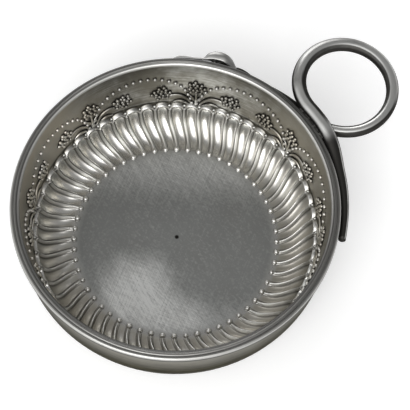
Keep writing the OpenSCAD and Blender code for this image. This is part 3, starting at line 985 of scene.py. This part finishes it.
def make_serpent_head():
    """Head with a flat crown and a slit mouth, that runs out into a flat tongue along the rim."""
    line = []
    for share in np.linspace(0, 1, HEAD_STEPS):
        half_w, half_h = np.array(table(HEAD_SHAPE, share)) * (HEAD_W / 2, HEAD_H / 2)
        below = HEAD_DROOP * (1 - smooth(share, *HEAD_RISE))
        place = round_rim(MOULDING_R + SOLDER_W + half_w, below, HEAD_START + share * HEAD_SWEEP)
        line.append((place, half_w, half_h))
    for share in np.linspace(0.08, 1, 24):
        half_w, half_h = table(TONGUE_SHAPE, share)
        angle = HEAD_START + HEAD_SWEEP + share * TONGUE_SWEEP
        line.append((round_rim(MOULDING_R + mix(SOLDER_W, FIT, share) + half_w, 0, angle), half_w, half_h))

    def outline(i, angle):
        share = i / (HEAD_STEPS - 1)
        if share > 1:
            return 1.0
        crown = smooth(sind(angle), 0.55, 0.95) * smooth(share, 0, 0.3)
        return 1 - 0.2 * mouth_at(share, angle) - 0.12 * crown

    def soil_and_shade(i, angle):
        share = i / (HEAD_STEPS - 1)
        mouth = mouth_at(share, angle) if share < 1 else 0.0
        # Painted shade underneath, an even darker tone and a dark mouth slit
        return max(painted_under_shade(angle, 0.95), HEAD_SOIL, mouth)

    return tube_object("serpent_face", tube_sections(line, 40, outline), serpent_silver, soil_and_shade)


# Solder

# Heights from the moulding's middle, a span of angles round the bowl, one of the head's length and an angle
SOLDER_LOW = -0.35 * MOULDING_R
SOLDER_TOP = 0.62 * MOULDING_R
CROSSING_SPAN = (-12.0, 2.0)
NECK_SPAN = (0.5, 0.78)
TAIL_SOLDER_START = -35.0


def lump(angle):
    """Uneven height of a run of solder."""
    return 1 + 0.2 * sind(angle * 97) + 0.12 * sind(angle * 211)


def groove_solder(name, body_r, start, end):
    """Lumpy solder between the moulding and a round body beside it."""
    body_x = RIM_R + SOLDER_W + body_r
    sections = []
    for angle in np.linspace(start, end, 60):
        heights = np.linspace(SOLDER_LOW, SOLDER_TOP * lump(angle), 8)
        rim_side = [(MOULDING_X + math.sqrt(MOULDING_R ** 2 - h * h), h) for h in heights]
        far_side = [(body_x - math.sqrt(body_r ** 2 - h * h), h) for h in heights]
        sections.append([polar(r, angle, MOULDING_Z + h) for r, h in rim_side + far_side[::-1]])
    return tube_object(name, sections, solder_silver, lambda i, angle: 0.6)


def make_crossing_solder():
    return groove_solder("crossing_solder_bead", WIRE_R, *CROSSING_SPAN)


def make_neck_solder():
    start, end = (HEAD_START + share * HEAD_SWEEP for share in NECK_SPAN)
    return groove_solder("neck_solder_bead", HEAD_W / 2, start, end)


def make_tail_solder():
    """Solder between the wall and the end of the tail."""
    sections = []
    for place, half_w, half_h in wire_line()[:-3]:
        angle = math.degrees(math.atan2(place[1], place[0]))
        if angle >= TAIL_SOLDER_START:
            continue
        x = math.hypot(place[0], place[1])
        z = place[2]
        heights = np.linspace(z - 0.6 * half_h, MOULDING_Z - MOULDING_R - FIT, 6)
        wall_side = [(OUTER_R + FIT, h) for h in heights]
        tail_side = [(x - half_w * math.sqrt(1 - ((h - z) / half_h) ** 2) - FIT, h) for h in heights]
        sections.append([polar(r, angle, h) for r, h in wall_side + tail_side[::-1]])
    return tube_object("tail_solder_bead", sections, solder_silver, lambda i, angle: 0.8)


pieces = [
    (make_bowl(), "bowl_silver", "bowl"),
    (make_ridge_beads(), "bowl_silver", None),
    (make_grapes(), "bowl_silver", None),
    (make_stems(), "bowl_silver", None),
    (make_swags(), "bowl_silver", None),
    (make_rim(), "rim_silver", "rim_moulding"),
    (make_rim_solder(), "solder", "rim_solder"),
    (make_serpent_body(), "serpent_silver", "serpent_body"),
    (make_serpent_head(), "serpent_silver", "serpent_head"),
    (make_neck_solder(), "solder", "neck_solder"),
    (make_crossing_solder(), "solder", "crossing_solder"),
    (make_tail_solder(), "solder", "tail_solder"),
]
for piece, slot, node in pieces:
    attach(piece, "root")
    if node:
        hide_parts(node)


# Camera, as fitted to the photograph: it looks down on the rim from beside the handle
CAMERA_AZIMUTH = -40.7
CAMERA_ELEVATION = 65.88
CAMERA_ROLL = 2.67
CAMERA_DISTANCE = 404.0
CAMERA_RIGHT = 7.44
CAMERA_UP = 0.14
FOCAL_PIXELS = 1593.0
FRAME_PIXELS = 410.0
SENSOR = 36.0
FRONT = np.array([sind(CAMERA_AZIMUTH), -cosd(CAMERA_AZIMUTH), 0])
LEFT = np.array([-cosd(CAMERA_AZIMUTH), -sind(CAMERA_AZIMUTH), 0])
UP = np.array([0, 0, 1])


# Stage: a pale floor, a soft studio sky and two lamps

FLOOR_HALF = 3000.0
FLOOR_GLOW = 0.3
SKY_DIM = 0.3
SKY_FRONT = 1.4
SKY_SIDE = 0.45


def make_floor():
    """A pale floor that glows where it is seen or mirrored, so that it looks white and keeps its shadows."""
    corners = [(x * FLOOR_HALF, y * FLOOR_HALF, 0) for x, y in ((-1, -1), (1, -1), (1, 1), (-1, 1))]
    floor = mesh_object("floor", corners, [[0, 1, 2, 3]])
    material = bpy.data.materials.new("pale_floor")
    material.use_nodes = True
    plan = Plan(material.node_tree)
    shader = material.node_tree.nodes["Principled BSDF"]
    shader.inputs["Base Color"].default_value = (0.86, 0.86, 0.86, 1)
    shader.inputs["Roughness"].default_value = 0.9
    shader.inputs["Specular IOR Level"].default_value = 0.1
    rays = plan.node("ShaderNodeLightPath")
    seen = plan.math("MAXIMUM", rays["Is Camera Ray"],
                     plan.math("MAXIMUM", rays["Is Glossy Ray"], rays["Is Transmission Ray"]))
    glow = plan.node("ShaderNodeEmission", None, {"Color": (1, 1, 1, 1), "Strength": seen * FLOOR_GLOW})
    both = plan.node("ShaderNodeAddShader", None, {0: Socket(plan, shader.outputs[0]), 1: glow})
    output = material.node_tree.nodes["Material Output"]
    material.node_tree.links.new(both.socket, output.inputs["Surface"])
    floor.data.materials.append(material)


def make_sky():
    """A dim studio that is bright in front of the bowl and on its left."""
    world = bpy.data.worlds.new("studio")
    world.use_nodes = True
    bpy.context.scene.world = world
    plan = Plan(world.node_tree)
    place = plan.node("ShaderNodeTexCoord")["Generated"]
    parts = plan.node("ShaderNodeSeparateXYZ", None, {"Vector": place})

    def towards(direction):
        unit = np.array(direction) / np.linalg.norm(direction)
        return parts["X"] * unit[0] + parts["Y"] * unit[1] + parts["Z"] * unit[2]

    front = plan.smooth(towards(FRONT + LEFT * 0.2 + UP * 0.95), 0.62, 0.96)
    side = plan.smooth(towards(LEFT + UP * 0.25), 0.55, 0.95)
    light = SKY_DIM + front * SKY_FRONT + side * SKY_SIDE
    background = world.node_tree.nodes["Background"]
    grey = plan.node("ShaderNodeCombineColor", None, {name: light for name in ("Red", "Green", "Blue")})
    world.node_tree.links.new(grey.socket, background.inputs["Color"])


def make_lamp(name, place, width, watts):
    """A square lamp, placed in metres, that points at the bowl."""
    lamp = bpy.data.lights.new(name, "AREA")
    lamp.size = width
    lamp.energy = watts
    piece = bpy.data.objects.new(name, lamp)
    bpy.context.collection.objects.link(piece)
    piece.location = place
    piece.rotation_euler = Vector(place).to_track_quat("Z", "Y").to_euler()


def make_camera():
    """The camera of the photograph, aimed past the middle of the rim."""
    data = bpy.data.cameras.new("photo_camera")
    data.sensor_width = SENSOR
    data.lens = FOCAL_PIXELS * SENSOR / FRAME_PIXELS
    data.clip_start = 0.01
    data.clip_end = 50
    right = -LEFT
    back = FRONT * cosd(CAMERA_ELEVATION) + UP * sind(CAMERA_ELEVATION)
    up = np.cross(back, right)
    place = (right * CAMERA_RIGHT + up * CAMERA_UP + back * CAMERA_DISTANCE + UP * MOULDING_Z) * MM
    turned_right = right * cosd(CAMERA_ROLL) + up * sind(CAMERA_ROLL)
    turned_up = up * cosd(CAMERA_ROLL) - right * sind(CAMERA_ROLL)
    camera = bpy.data.objects.new("photo_camera", data)
    bpy.context.collection.objects.link(camera)
    axes = np.eye(4)
    axes[:3] = np.column_stack([turned_right, turned_up, back, place])
    camera.matrix_world = Matrix(axes.tolist())
    bpy.context.scene.camera = camera


make_floor()
make_sky()
make_lamp("front_lamp", FRONT * 0.55 + LEFT * 0.15 + UP * 0.48, width=0.45, watts=2.0)
make_lamp("back_lamp", FRONT * -0.6 + LEFT * 0.1 + UP * 0.27, width=0.4, watts=1.3)
make_camera()
bpy.context.scene.view_settings.view_transform = "Standard"
